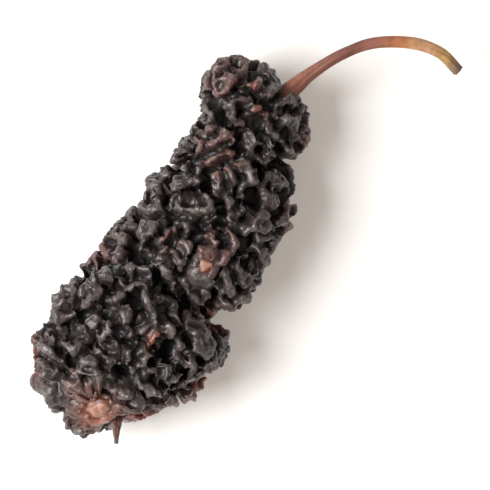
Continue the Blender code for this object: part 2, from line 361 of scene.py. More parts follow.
axis = bmesh.new()
bmesh.ops.create_uvsphere(axis, u_segments=48, v_segments=80, radius=1)
for vert in axis.verts:
    t = (len(STATIONS) - 1) * math.acos(min(max(-vert.co.z, -1), 1)) / math.pi
    angle = math.atan2(vert.co.y, vert.co.x)
    sink = CORE_SINK + crease_depth(body_point(t, angle).x, angle)
    vert.co = body_point(t, angle) - body_normal(t, angle) * sink
bmesh.ops.recalc_face_normals(axis, faces=axis.faces)
add_to_berry(axis)
bpy.data.meshes.remove(piece_mesh)
print("plain berry:", len(berry.faces), "faces")

# %% Remesh them to one skin
COARSE_GRAIN = 0.2  # the side of a voxel, in mm


def through(mesh, kind, **settings):
    """The mesh as it comes out of a modifier with these settings."""
    carrier = bpy.data.objects.new("carrier", mesh)
    bpy.context.scene.collection.objects.link(carrier)
    modifier = carrier.modifiers.new("only", kind)
    for key, value in settings.items():
        setattr(modifier, key, value)
    bpy.context.view_layer.update()
    made = bpy.data.meshes.new_from_object(carrier.evaluated_get(bpy.context.evaluated_depsgraph_get()))
    bpy.data.objects.remove(carrier)
    bpy.data.meshes.remove(mesh)
    return made


raw = bpy.data.meshes.new("raw_skin")
berry.to_mesh(raw)
berry.free()
skin_mesh = through(raw, "REMESH", mode="VOXEL", voxel_size=COARSE_GRAIN)
print("the coarse skin has", len(skin_mesh.polygons), "faces")

# %% [markdown]
# ## The skin as a net
#
# The folds depend on what lies beside each point of the skin, so the skin is turned to a net: the points,
# and a table of each point's neighbours. Averaging each point with its neighbours again and again is a
# blur over the surface, and the number of rounds sets how far it reaches. A cloth simulation could make
# the folds too, but it is slow, and this net lets each place have its own share of folds.

# %% Points, neighbours and blur
class Net:
    """A mesh as arrays: its points, and for each point the places of its neighbours."""

    def __init__(self, mesh):
        self.mesh = mesh
        self.count = len(mesh.vertices)
        points = np.empty(self.count * 3, np.float32)
        mesh.vertices.foreach_get("co", points)
        self.points = points.reshape(-1, 3)
        ends = np.empty(len(mesh.edges) * 2, np.int32)
        mesh.edges.foreach_get("vertices", ends)
        ends = ends.reshape(-1, 2)
        here = np.concatenate([ends[:, 0], ends[:, 1]])
        there = np.concatenate([ends[:, 1], ends[:, 0]])
        order = np.argsort(here, kind="stable")
        here, there = here[order], there[order]
        self.valence = np.bincount(here, minlength=self.count).astype(np.float32)
        first = np.concatenate([[0], np.cumsum(self.valence)[:-1]]).astype(int)
        column = np.arange(len(here)) - first[here]
        self.near = np.tile(np.arange(self.count)[:, None], (1, int(self.valence.max())))
        self.near[here, column] = there
        self.real = (self.near != np.arange(self.count)[:, None]).astype(np.float32)
        self.edge = float(np.linalg.norm(self.points[ends[:, 0]] - self.points[ends[:, 1]], axis=1).mean())

    def beside(self, values):
        """The mean of each point's neighbours."""
        real, valence = self.real, self.valence
        if values.ndim > 1:
            real, valence = real[..., None], valence[:, None]
        return (values[self.near] * real).sum(axis=1) / valence

    def blur(self, values, reach):
        """The values smoothed over this many mm. A round adds a quarter of an edge squared."""
        for _ in range(max(1, round(4 * (reach / self.edge) ** 2))):
            values = values + 0.5 * (self.beside(values) - values)
        return values

    def normals(self, shape):
        """Puts the shape in the mesh and gives the normal at each point."""
        self.mesh.vertices.foreach_set("co", shape.astype(np.float32).ravel())
        self.mesh.update()
        normals = np.empty(self.count * 3, np.float32)
        self.mesh.vertex_normals.foreach_get("vector", normals)
        return normals.reshape(-1, 3)

    def noise(self, scale, offset):
        """Soft noise at every point, with features about this many mm across. The offset picks a pattern."""
        shift = Vector((offset, 2 * offset, 3 * offset))
        return np.array([noise.noise(Vector(p) / scale + shift) for p in self.points], np.float32)


def buckle(net, rest, shape, growth, rounds, push, bend, hold_in, hold_out):
    """Lets a skin that has grown by these shares of its rest shape find its folds. push is how fast the
    lengths are sought, bend resists sharp folds, and the holds draw each point back to its rest place,
    from below it and from above it."""
    normals = net.normals(rest)
    lengths = np.linalg.norm(rest[net.near] - rest[:, None], axis=2)
    lengths = lengths * (1 + 0.5 * (growth[net.near] + growth[:, None]))
    valence = net.valence[:, None]
    rest_bend = net.beside(rest) - rest
    rest_bend = rest_bend - net.beside(rest_bend)
    for _ in range(rounds):
        edges = shape[net.near] - shape[:, None]
        sizes = np.sqrt((edges * edges).sum(axis=2)) + 1e-9
        pull = ((1 - lengths / sizes) * net.real)[..., None]
        spread = (edges * pull).sum(axis=1) / valence
        curve = (edges * net.real[..., None]).sum(axis=1) / valence
        stiff = curve - net.beside(curve) - rest_bend
        offset = shape - rest
        out = (offset * normals).sum(axis=1)[:, None]
        hold = np.where(out < 0, hold_in, hold_out)
        shape = shape + push * spread + bend * stiff - hold * offset
    return shape


VOXEL_BLUR = 0.12  # smooths the small steps that voxels leave, in mm
net = Net(skin_mesh)
points = net.blur(net.points, VOXEL_BLUR)
print(net.count, "points,", round(net.edge, 3), "mm apart")

# %% [markdown]
# ## The skin round the bare seeds
#
# In three places the skin has split and shows the seed. Before it split it had dried tight on the seed, so
# it slopes down to the seed from the drupelets beside it. Each point near a seed is moved along its line to
# the seed's middle, on to a bowl, and a blur evens what that leaves. This comes before the folds, so that
# they run on over the slope.

# %% Draw the skin down to the seeds
TEARS = {  # where each looks from its seed, its half angle, and how taut the skin is round it
    "seed_side": ((0.2, 0.2, 0.96), 0.45, 0.2),
    "seed_tip": ((0.62, 0.3, 0.7), 0.95, 0.9),
    "seed_under": ((0.0, 0.0, 1.0), 0.6, 0.4),
}
ON_SEED, IN_SEED = 1.24, 0.84  # how far out the skin lies on a seed of radius one, and inside a tear
FACE_OF_SEED = 1.19  # no fold over a seed comes nearer to its middle
FOLD_ON_SEED = 0.4  # the share of its depth that a fold keeps on a seed
BOWL_SLOPE, BOWL_RISE = 0.9, 1.4  # the slope round a tear: its width as an angle, and its height
BESIDE_SEED = (1.5, 2.8)  # the skin is drawn down fully up to the first, and not past the second
BESIDE_TEAR = 0.4  # how far past a tear the skin is still taut, as an angle
MUCH_DRAWN = 0.2  # skin that is drawn down this far is evened fully
EVENED = (0.25, 0.35)  # how far the evening spreads, and how far it blurs, in mm


def about_tear(name, points):
    """Each point's distance from the seed's middle, in a measure where the seed is a ball of radius one,
    and its angle off the middle of the tear."""
    towards = np.array(Vector(TEARS[name][0]).normalized())
    stand = np.array(seed_stand(SEED_PLACES[name]))
    local = (points - stand[:3, 3]) @ stand[:3, :3] / SEED_HALF_SIZE
    size = np.maximum(np.linalg.norm(local, axis=1), 1e-6)
    return size, np.arccos(np.clip(local @ towards / size, -1, 1))


def moved_about(name, points, share):
    """The points moved to this share of their distance from the seed's middle."""
    middle = np.array(seed_stand(SEED_PLACES[name]))[:3, 3]
    return middle + (points - middle) * share[:, None]


def at_tears(points):
    """How taut the skin is at the tears, falling to 0 beside them."""
    amount = np.zeros(len(points))
    for name, (_, half_angle, most) in TEARS.items():
        size, off = about_tear(name, points)
        beside = np.maximum(off - half_angle, 0) / BESIDE_TEAR
        amount = np.maximum(amount, most * np.exp(-(beside**2)) * (size < BESIDE_SEED[1]))
    return amount


drawn = np.zeros(net.count)
for name, (_, half_angle, tautness) in TEARS.items():
    size, off = about_tear(name, points)
    bowl = ON_SEED + BOWL_RISE * smoothstep(half_angle, half_angle + BOWL_SLOPE, off)
    step = tautness * (1 - smoothstep(*BESIDE_SEED, size)) * np.maximum(size - bowl, 0)
    drawn = np.maximum(drawn, np.clip(step / MUCH_DRAWN, 0, 1))
    points = moved_about(name, points, (size - step) / size)
points = points + net.blur(drawn, EVENED[0])[:, None] * (net.blur(points, EVENED[1]) - points)
normals = net.normals(points)
print("the tears draw down", round(float(drawn.mean()), 3), "of the skin")

# %% [markdown]
# ## Which drupelet each point is on
#
# In a drupelet's own measure its ball has radius one, so the drupelet that a point lies on is the one with
# the smallest measure there. The gap to the next smallest tells how near the point is to a seam.

# %% Find each point's drupelet
SEAM_WIDTH = 0.15  # in a drupelet's own measure


def on_plan(points):
    """For each point: the number of its drupelet, and 1 on a seam falling to 0 beside it."""
    nearest = np.full(len(points), np.inf)
    second = np.full(len(points), np.inf)
    owner = np.zeros(len(points), int)
    for row, form in enumerate(plan):
        back = np.array(drupelet_stand(form).inverted())
        measure = np.linalg.norm(points @ back[:3, :3].T + back[:3, 3], axis=1)
        closer = measure < nearest
        second = np.where(closer, nearest, np.minimum(second, measure))
        nearest = np.where(closer, measure, nearest)
        owner[closer] = row
    return owner, np.exp(-(((second - nearest) / SEAM_WIDTH) ** 2))


_, seam = on_plan(points)
print("the seams cover", round(float(seam.mean()), 2), "of the skin")

# %% [markdown]
# ## The long folds
#
# Most folds may fall as they like, but a few are what this berry is known by: a ring near the middle, a
# smooth fold that runs down the right flank, the two along the deep groove, and the winding ones by the
# tip. Each is a short route seen from above. A smooth curve through it says how near every point is. The
# dark hollows between them are round spots.

# %% Mark the long folds
LONG_FOLDS = (  # x and y of each fold's points, in mm, from the tip to the stalk
    ((-8.1, 4.3), (-8.2, 3.5), (-8.3, 2.8), (-8.5, 2.0), (-8.1, 1.0)),
    ((-7.5, 4.2), (-7.5, 3.4), (-7.6, 2.7), (-7.9, 2.1), (-7.7, 1.4)),
    ((-7.0, 1.7), (-7.0, 1.1), (-7.2, 0.5)), ((-6.4, 2.4), (-5.9, 2.5), (-5.4, 2.3)),
    ((-6.5, 1.7), (-6.0, 1.5), (-5.5, 1.6)),
    ((-4.2, 1.9), (-3.4, 1.4), (-3.0, 0.9), (-3.6, 0.3), (-4.1, -0.4), (-4.7, -0.4), (-5.6, 0.3)),
    ((-3.3, 2.8), (-3.4, 2.1)), ((-8.6, -0.1), (-8.5, -0.9)), ((-7.2, -0.6), (-7.5, -1.2), (-7.6, -2.2)),
    ((-6.8, -1.5), (-6.5, -0.9), (-6.1, -0.9), (-5.8, -1.4)), ((-5.7, -0.9), (-5.3, -0.7), (-4.9, -0.8)),
    ((-4.3, -1.2), (-4.6, -1.7), (-4.9, -2.2)), ((-6.9, -3.0), (-6.4, -3.3), (-5.6, -3.2)),
    ((-2.7, -1.0), (-2.5, -0.5), (-1.9, 0.0), (-1.5, 0.7), (-1.3, 1.7)),
    ((-1.9, -1.1), (-2.3, -1.6), (-2.6, -2.8)),
    ((3.0, -1.2), (2.3, -1.5), (1.5, -2.0), (0.9, -2.5), (0.2, -2.3), (-0.4, -2.5), (-1.1, -3.2)),
    ((2.7, 1.4), (3.1, 0.9), (2.9, 0.1), (2.3, -0.4), (1.8, 0.1), (1.5, 0.8), (1.8, 1.5)),
    ((0.8, 0.3), (0.2, 0.1), (-0.1, -0.4), (0.0, -0.9)), ((0.5, 0.6), (-0.2, 0.9), (-0.9, 0.8)),
    ((4.0, 0.9), (4.6, 0.4), (5.1, 0.0), (5.2, -0.5), (4.9, -1.3), (4.4, -1.8)),
    ((3.9, 0.2), (3.5, -0.2), (3.0, -0.4)), ((3.7, 2.3), (3.6, 1.9), (3.3, 1.5)),
    ((7.2, -1.3), (7.0, -2.0), (6.8, -2.8)), ((8.1, -1.9), (8.4, -2.4)), ((8.7, 0.7), (9.1, 0.2)),
    ((7.7, -0.1), (8.0, -0.5), (7.7, -0.9)), ((6.0, 1.5), (6.6, 1.5), (6.9, 2.2)),
)
LONG_FOLD_WIDTH = 0.17
BESIDE_FOLD = 0.5  # how far off a fold its furrows lie, in mm
ROUTE_STEPS = 6  # places that are looked at between two points of a route
LOOKS_UP = (0.1, 0.4)  # the normal's z where such marks start, and where they are full
PLAIN_CREST, UNEVEN_CREST = 0.4, 0.6  # the shares of a crest's height that are even and that vary
CREST_CHANGES = 0.6  # over how many mm it varies
HOLLOW_DEPTH = 2.2  # as a share of a furrow's
HOLLOWS = (  # x, y and reach of each dark hollow between the folds, in mm
    (-9.1, 0.1, 0.35), (-8.8, 1.4, 0.45), (-7.6, -0.2, 0.3), (-7.1, -1.7, 0.3), (-6.9, 0.4, 0.35),
    (-6.9, 2.1, 0.4), (-6.7, 3.3, 0.5), (-6.2, -1.6, 0.3), (-6.2, -2.8, 0.4), (-5.6, 3.9, 0.4),
    (-5.5, -1.7, 0.22), (-3.6, 3.9, 0.5), (-3.5, -0.6, 0.6), (-3.3, -1.3, 0.7), (-3.2, -2.2, 0.6),
    (-2.6, 0.3, 0.5), (-1.9, -2.0, 0.4), (-1.7, 1.6, 0.35), (-1.7, 3.6, 0.45), (-1.5, 2.3, 0.35),
    (-1.4, -1.3, 0.5), (-0.8, 1.4, 0.35), (-0.4, -0.9, 0.3), (0.5, -3.5, 0.4), (1.1, -0.4, 0.35),
    (1.7, -3.4, 0.45), (1.8, 2.0, 0.35), (2.4, 0.9, 0.35), (2.5, -2.3, 0.4), (3.1, -2.5, 0.35),
    (3.3, 0.2, 0.35), (3.6, -1.4, 0.35), (3.8, -2.2, 0.4), (4.6, 2.0, 0.35), (4.6, -3.7, 0.45),
    (4.7, -2.8, 0.4), (6.0, -1.6, 0.3), (6.2, 2.8, 0.5), (6.7, 3.6, 0.4), (7.4, 0.1, 0.35),
    (7.4, -2.4, 0.35), (7.7, 2.8, 0.6), (8.6, 0.9, 0.35), (8.8, -2.2, 0.35), (9.9, 1.7, 0.35),
)


def long_folds(points, normals):
    """How far up a long fold each point is, and how far down in the furrows beside one."""
    distance = np.full(len(points), np.inf)
    for route in LONG_FOLDS:
        for i in range(ROUTE_STEPS * (len(route) - 1) + 1):
            sample = spline(route, i / ROUTE_STEPS)
            distance = np.minimum(distance, np.hypot(points[:, 0] - sample.x, points[:, 1] - sample.y))
    facing_up = smoothstep(*LOOKS_UP, normals[:, 2])
    uneven = np.array([0.5 + noise.noise(Vector(p) / CREST_CHANGES) for p in points])
    crest = np.exp(-((distance / LONG_FOLD_WIDTH) ** 2)) * facing_up
    crest *= PLAIN_CREST + UNEVEN_CREST * uneven
    furrow = np.exp(-(((distance - BESIDE_FOLD) / LONG_FOLD_WIDTH) ** 2)) * facing_up
    for x, y, reach in HOLLOWS:
        away = np.hypot(points[:, 0] - x, points[:, 1] - y)
        furrow = np.maximum(furrow, HOLLOW_DEPTH * np.exp(-((away / reach) ** 2)) * facing_up)
    return crest, furrow * (1 - crest)


crest, furrow = long_folds(points, normals)
print(len(LONG_FOLDS), "long folds cover", round(float(crest.mean()), 3), "of the skin")

# %% [markdown]
# ## Fold the skin
#
# The flesh shrinks and the skin doesn't, so the skin has more area than room, and it buckles. Folds carved
# by a formula look alike everywhere. Here the skin grows instead: each edge of the net is given a longer
# length to seek, a stiffness keeps the folds from turning sharp, and a weak pull to the old place keeps the
# berry's form. The large folds come first, on the coarse skin. The crinkles and the fine wrinkles follow on
# the refined one, and thin creases are pressed in last. Where the skin dried taut, it hardly grows.

# %% Buckle the coarse skin
GROWTH, GROWTH_VARIES = 0.24, 0.35  # how much longer the skin gets, as a share
LEAST_GROWTH, MOST_GROWTH = 0.08, 0.42
FURROW_GROWTH, CREST_GROWTH = 0.15, 0.5  # added in a furrow, and the share left out on a crest
GROWTH_CHANGES = 1.8  # over how many mm the growth varies
CREST_HEIGHT, FURROW_DEPTH, SEAM_DEPTH = 0.22, 0.2, 0.26  # where the skin is drawn back to, in mm
START_HEIGHT, START_SIZE = 0.14, 0.45  # the bumps that the folds start from, in mm
START_CREST, START_FURROW = 0.08, 0.1  # how far the marks are moved at the start, in mm
PLACES_TAUT = 0.85  # in the middle of the places below
STRETCHED = (  # x, y, height z and reach in mm of places where the skin dried taut and smooth, and strength
    (-9.9, 0.15, 4.9, 1.3, 1.0), (-9.7, 2.4, 4.4, 1.4, 1.0), (-9.0, 3.9, 3.4, 1.1, 1.0),
    (-10.0, -1.3, 3.2, 0.9, 1.0), (-8.3, -2.8, 2.8, 0.8, 1.0),
)


def spotted(points, spots, power=2):
    """How much each point has of what spots bring. A greater power gives them a sharper edge."""
    amount = np.zeros(len(points))
    for x, y, z, reach, most in spots:
        away = np.linalg.norm(points - np.array((x, y, z)), axis=1)
        amount = np.maximum(amount, most * np.exp(-((away / reach) ** power)))
    return amount


taut = 1 - np.maximum(PLACES_TAUT * spotted(points, STRETCHED, power=4), at_tears(points))
growth = np.clip(GROWTH + GROWTH_VARIES * net.noise(GROWTH_CHANGES, 3.0), LEAST_GROWTH, MOST_GROWTH)
growth = taut * (growth + FURROW_GROWTH * np.minimum(furrow, 1))
growth *= 1 - CREST_GROWTH * crest
moved = CREST_HEIGHT * crest - FURROW_DEPTH * furrow - SEAM_DEPTH * seam * taut
rest = points + normals * moved[:, None]
start = taut * START_HEIGHT * net.noise(START_SIZE, 5.0) + START_CREST * crest - START_FURROW * furrow
folded = buckle(
    net, rest, rest + normals * start[:, None], growth,
    rounds=80, push=0.8, bend=0.2, hold_in=0.008, hold_out=0.04,
)
out = ((folded - points) * normals).sum(axis=1)
print("folds stand from", np.percentile(out, (1, 50, 99)).round(2), "mm off the plain skin")

# %% Refine the net and crinkle the folds
FINELY_TAUT = 0.65  # the share of its tautness that counts against crinkles
CRINKLES = (  # their size and height at the start, rounds, push, stiffness and growth
    (0.36, 0.09, 130, 0.4, 0.2, 0.5),
    (0.14, 0.04, 35, 0.8, 0.16, 0.32),
)
MEAN_SHARE, LEAST_SHARE = 0.7, 0.1  # of the most growth
CRINKLING_CHANGES = 1.1  # over how many mm it varies
THIN_CREASES = ((0.55, 0.09, 0.07), (0.28, 0.09, 0.04))  # their noise's size, their breadth and their depth

net.normals(folded)
skin_mesh = through(net.mesh, "SUBSURF", levels=1, render_levels=1)
net = Net(skin_mesh)
shape = net.points
taut = spotted(shape, STRETCHED, power=4)
taut = 1 - np.maximum(FINELY_TAUT * taut, FINELY_TAUT * at_tears(shape))
for i, (size, height, rounds, push, bend, most) in enumerate(CRINKLES):
    varied = MEAN_SHARE * most + net.noise(CRINKLING_CHANGES, 13.0 + i)
    growth = taut * np.clip(varied, LEAST_SHARE * most, most)
    start = shape + net.normals(shape) * (taut * height * net.noise(size, 15.0 + i))[:, None]
    shape = buckle(net, shape, start, growth, rounds, push, bend, hold_in=0.002, hold_out=0.008)
for i, (size, breadth, depth) in enumerate(THIN_CREASES):
    line = np.exp(-((net.noise(size, 30.0 + i) / breadth) ** 2))
    shape = shape - net.normals(shape) * (taut * depth * line)[:, None]
out = ((shape - net.points) * net.normals(net.points)).sum(axis=1)
print("crinkles stand from", np.percentile(out, (1, 50, 99)).round(3), "mm off the folds")
print(net.count, "points", round(net.edge, 3), "mm apart,", len(skin_mesh.polygons), "faces")

# %% [markdown]
# ## Tear the skin over the seeds
#
# Inside each tear's ragged edge the skin is drawn in to just under the seed's face, so the seed shows. The
# skin round the tear is kept off the seed, and curls up a little as a lip.

# %% Open the tears
RAGGED, FINELY_RAGGED = 0.42, 0.16  # how far a tear's edge runs in and out, as an angle like the next four
LARGE_TEAR = 0.8  # a smaller tear is less ragged
SOFT_EDGE = 0.16  # the skin takes this far to turn in
LIP_AWAY, LIP_WIDTH = 0.15, 0.12  # the lip's place past the edge, and its breadth
LIP_HEIGHT = 0.06  # in mm

ragged = RAGGED * net.noise(scale=0.6, offset=20.0) + FINELY_RAGGED * net.noise(scale=0.3, offset=21.0)
lip = np.zeros(net.count)
for name, (_, half_angle, _) in TEARS.items():
    size, off = about_tear(name, shape)
    off = off + ragged * min(1, half_angle / LARGE_TEAR)
    inside = smoothstep(half_angle + SOFT_EDGE, half_angle - SOFT_EDGE, off)
    clear = np.maximum(size, np.maximum(ON_SEED - FOLD_ON_SEED * (ON_SEED - size), FACE_OF_SEED))
    wanted = clear + inside * (IN_SEED - clear)
    near = size < BESIDE_SEED[1]
    shape = moved_about(name, shape, np.where(near, wanted / size, 1))
    lip = np.maximum(lip, near * np.exp(-(((off - half_angle - LIP_AWAY) / LIP_WIDTH) ** 2)))
shape += net.normals(shape) * (LIP_HEIGHT * lip)[:, None]
print("points in the tears' lips:", int((lip > 0.5).sum()))

# %% [markdown]
# ## Rest on the floor
#
# The berry is soft enough to flatten where it lies. Points below the floor move up to it, and a blur of
# how deep they were makes the flesh beside them bulge a little.

# %% Press the berry on the floor
BULGE, BULGE_REACH = 0.3, 0.25  # the share of what is pressed in that comes out, and within how many mm
TOP_LOST = 0.5  # the share of their height that folds past the solid's top lose

normals = net.normals(shape)
below = np.maximum(-shape[:, 2], 0)
shape += normals * (BULGE * net.blur(below, BULGE_REACH) * (below == 0))[:, None]
shape[:, 2] = np.maximum(shape[:, 2], 0)
shape[:, 2] -= TOP_LOST * np.maximum(shape[:, 2] - solid_high[2] / MM, 0)
normals = net.normals(shape)
print("flattened share:", round(float((below > 0).mean()), 3))

# %% [markdown]
# ## What the finish needs to know
#
# Numbers for each point go with the mesh as attributes: how deep it lies in a hollow, how near it is to a
# long fold, how much of the red juice shows through, and where the skin is tan. The first two place the
# painted shade in hollows and the painted light on crests and long folds. Tan marks skin so thin and dry
# that it is tan, and painted light along the lower rim. The skin is red-brown at the tip, along one flank
# and on a few drupelets that dried before they were ripe. The rest is nearly black.

# %% Hollows, crests and red skin
RED_SPOTS = (  # x, y, height z and reach in mm, strength
    (-9.8, -0.9, 3.9, 1.0, 0.9), (-9.2, -2.0, 3.3, 1.1, 0.85), (-8.3, -2.9, 3.0, 0.9, 0.85),
    (-7.2, -3.5, 3.0, 0.9, 0.85), (-6.1, -4.0, 3.2, 1.1, 0.9), (-8.9, 4.3, 4.0, 0.9, 1.0),
    (-5.3, -0.8, 7.2, 0.5, 0.6), (4.0, 0.3, 6.8, 0.5, 0.7), (-0.1, 0.7, 7.0, 0.6, 0.5),
    (9.0, 0.4, 5.9, 0.6, 0.55), (7.8, -0.5, 6.2, 0.6, 0.45), (7.8, -3.5, 3.4, 0.9, 0.6),
    (3.3, -3.9, 3.4, 0.9, 0.55), (-2.5, 3.1, 4.2, 0.9, 0.55), (-2.9, -3.3, 3.6, 0.7, 0.7),
)
# tan skin where it is thin and dry, and painted light along the lower rim
TAN_AND_RIM_LIGHT_SPOTS = (
    (-10.1, 0.15, 4.8, 1.1, 0.85), (-9.3, -1.3, 3.8, 0.6, 0.6), (-8.9, 4.2, 4.0, 0.4, 0.4),
    # painted light: these three lighten the lower rim as light bounced up from the table would
    (-8.4, -2.9, 3.1, 0.5, 0.5), (-7.3, -3.5, 3.1, 0.5, 0.4), (-6.1, -4.1, 3.2, 0.6, 0.6),
    (5.0, -0.3, 6.6, 0.6, 0.5), (-5.3, -0.8, 7.3, 0.4, 0.45),
)
# the hollow measure sets the painted shade in hollows and the painted light on crests
NARROW, WIDE = 0.2, 0.5  # how far the blurs reach that small and large hollows are measured from, in mm
WIDE_COUNTS, FURROW_COUNTS = 0.5, 0.05  # what large hollows and furrows add to the small ones
UNRIPE, UNRIPE_RED = 0.1, 0.16  # the share of drupelets that dried unripe, and how red they are

crest, furrow = long_folds(shape, normals)
narrow = np.einsum("ij,ij->i", net.blur(shape, NARROW) - shape, normals)
wide = np.einsum("ij,ij->i", net.blur(shape, WIDE) - shape, normals)
owner, _ = on_plan(shape)
unripe = np.random.default_rng(SEED).random(len(plan)) > 1 - UNRIPE
red = np.clip(spotted(shape, RED_SPOTS) + UNRIPE_RED * unripe[owner], 0, 1)
finish_numbers = {
    "hollow": WIDE_COUNTS * wide + narrow + FURROW_COUNTS * furrow,
    "red": red,
    # tan holds the thin dry skin and the painted light on the lower rim
    "tan": spotted(shape, TAN_AND_RIM_LIGHT_SPOTS),
    "long": crest,
}
for name, values in finish_numbers.items():
    attribute = skin_mesh.attributes.new(name, "FLOAT", "POINT")
    attribute.data.foreach_set("value", values.astype(np.float32))
skin_mesh.transform(Matrix.Scale(MM, 4))
skin_mesh.shade_smooth()
skin = bpy.data.objects.new("skin", skin_mesh)
bpy.context.scene.collection.objects.link(skin)
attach(skin, "root")
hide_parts("fruit")
for name, values in finish_numbers.items():
    print(name, np.percentile(values, (5, 50, 95)).round(2))

# %% [markdown]
# ## Dried mulberry skin
#
# The skin is a thin, waxy film that the juice has stained almost black. It is leathery, not wet, so its
# gloss is broad. Dried sugar greys it in patches. Crests are painted lighter and long folds lighter still,
# as painted light, and hollows are painted nearly black, as shade with some dried juice. The
# colours are laid over each other like washes of ink, each where an attribute or a patch of noise lets it
# through, so every tone can be changed by itself.

# %% Make the skin's material
COLOURS = {"data_type": "RGBA"}
SMOOTH = {"interpolation_type": "SMOOTHSTEP"}


def fill(tree, node, **inputs):
    """Sets a node's inputs to another node's output, a number or a hex colour. An input is named by its
    number after an i, or by its name with _ for each space."""
    for key, value in inputs.items():
        socket = node.inputs[int(key[1:]) if key[1:].isdigit() else key.replace("_", " ")]
        if isinstance(value, bpy.types.NodeSocket):
            tree.links.new(value, socket)
        else:
            socket.default_value = linear(value) if isinstance(value, str) else value


def add_node(tree, kind, settings=None, out=0, **inputs):
    """Adds a shader node with its settings and links, and gives back one of its outputs."""
    made = tree.nodes.new("ShaderNode" + kind)
    for key, value in (settings or {}).items():
        setattr(made, key, value)
    fill(tree, made, **inputs)
    return made.outputs[out]


def new_material(name, *pieces):
    """Puts a new material on the pieces, and gives its nodes and its shader."""
    material = bpy.data.materials.new(name)
    material.use_nodes = True
    for piece in pieces:
        piece.data.materials.append(material)
    return material.node_tree, material.node_tree.nodes["Principled BSDF"]


def patches(tree, place, size, start, full, least=0.0, most=1.0):
    """A share that goes from least to most where a noise of this size in mm goes from start to full."""
    noisy = add_node(
        tree, "TexNoise", out="Fac", Vector=place, Scale=1 / (size * MM), Detail=3.0, Roughness=0.55
    )
    return add_node(tree, "MapRange", SMOOTH, i0=noisy, i1=start, i2=full, i3=least, i4=most)


def grained(tree, place, size, depth, detail=3.0, **inputs):
    """The normal of a fine grain, with its size and depth in mm."""
    grain = add_node(
        tree, "TexNoise", out="Fac", Vector=place, Scale=1 / (size * MM), Detail=detail, Roughness=0.55
    )
    return add_node(tree, "Bump", Distance=depth * MM, Height=grain, **inputs)


tree, shader = new_material("waxy_dried_berry_skin", skin)
place = add_node(tree, "TexCoord", out="Object")
hollow, red, tan, long = (
    add_node(tree, "Attribute", {"attribute_name": name}, "Fac") for name in finish_numbers
)
# painted shade, with some dried juice: the skin turns nearly black deep in a hollow
painted_hollow_shade = add_node(tree, "MapRange", SMOOTH, i0=hollow, i1=0.04, i2=0.3)
# painted light: the skin turns lighter where it stands proud on a crest
painted_crest_light = add_node(tree, "MapRange", SMOOTH, i0=hollow, i1=-0.02, i2=-0.18)
# painted highlight along the crests of the long folds
painted_fold_highlight = add_node(tree, "MapRange", SMOOTH, i0=long, i1=0.2, i2=0.8, i4=0.6)
sugary = patches(tree, place, size=0.4, start=0.5, full=0.64, most=0.6)
juicy = patches(tree, place, size=0.6, start=0.35, full=0.55, least=0.4)
# dried sugar in patches, and the painted highlight on the long folds
sugar_and_fold_highlight = add_node(tree, "Math", {"operation": "ADD", "use_clamp": True}, i0=sugary, i1=painted_fold_highlight)
reddened = add_node(tree, "Math", {"operation": "MULTIPLY"}, i0=red, i1=juicy)
# each layer's crest colour is a painted-lit copy of it, and its furrow colour a painted-shaded copy
layers = (  # how much there is of each, and its colour in furrows and on crests
    (sugar_and_fold_highlight, "#3a3231", "#6c6460"),
    (reddened, "#541b12", "#a8503a"),
    (tan, "#8a4836", "#b37a66"),
)
toned = patches(tree, place, size=1.3, start=0.35, full=0.7)
colour = add_node(tree, "Mix", COLOURS, 2, i0=toned, i6="#2b2322", i7="#433937")
# painted light on the crests
colour = add_node(tree, "Mix", COLOURS, 2, i0=painted_crest_light, i6=colour, i7="#493f3e")
for amount, in_furrows, on_crests in layers:
    layer = add_node(tree, "Mix", COLOURS, 2, i0=painted_crest_light, i6=in_furrows, i7=on_crests)
    colour = add_node(tree, "Mix", COLOURS, 2, i0=amount, i6=colour, i7=layer)
# painted shade in the hollows
colour = add_node(tree, "Mix", COLOURS, 2, i0=painted_hollow_shade, i6=colour, i7="#120b0a")
rough = patches(tree, place, size=0.6, start=0.3, full=0.7, least=0.27, most=0.47)
rough = add_node(tree, "Mix", i0=painted_hollow_shade, i2=rough, i3=0.6)
WRINKLE_SIZE, WRINKLE_DEPTH = 0.4, 0.13  # in mm
wrinkles = add_node(
    tree, "TexNoise", {"noise_type": "RIDGED_MULTIFRACTAL", "normalize": True}, "Fac",
    Vector=place, Scale=1 / (WRINKLE_SIZE * MM), Detail=3.0, Roughness=0.55,
)
wrinkled = add_node(tree, "Bump", Strength=1.0, Distance=WRINKLE_DEPTH * MM, Height=wrinkles)
fill(
    tree, shader, Base_Color=colour, Roughness=rough, IOR=1.45, Coat_Weight=0.3, Coat_Roughness=0.2,
    Normal=grained(tree, place, size=0.14, depth=0.04, Strength=1.0, Normal=wrinkled),
)
print("the skin's material has", len(tree.nodes), "nodes")

# %% [markdown]
# ## Rods that follow a route
#
# The stalk and the style at the tip are both thin bent rods. A curve with a round bevel would do for a plain
# one, but these have ribs that change on the way. So each starts as a circle whose edge is extruded again
# and again, and every new ring is set square to the route, at its own width.

# %% Draw a rod along a route
STALK_ROUTE = (  # x, y, height z and radius in mm
    (8.4, -0.75, 3.45, 0.46), (9.6, -1.45, 3.5, 0.48), (10.9, -2.08, 3.75, 0.33),
    (12.5, -3.13, 4.15, 0.28), (13.85, -4.45, 4.35, 0.29), (14.72, -6.25, 4.2, 0.31),
    (14.9, -7.8, 3.75, 0.31), (14.5, -9.05, 3.3, 0.3),
)
STYLE_ROUTE = (
    (-9.2, -1.15, 3.45, 0.26), (-9.9, -0.98, 3.9, 0.24), (-10.45, -1.12, 4.25, 0.19),
    (-11.1, -1.43, 4.6, 0.12),
)


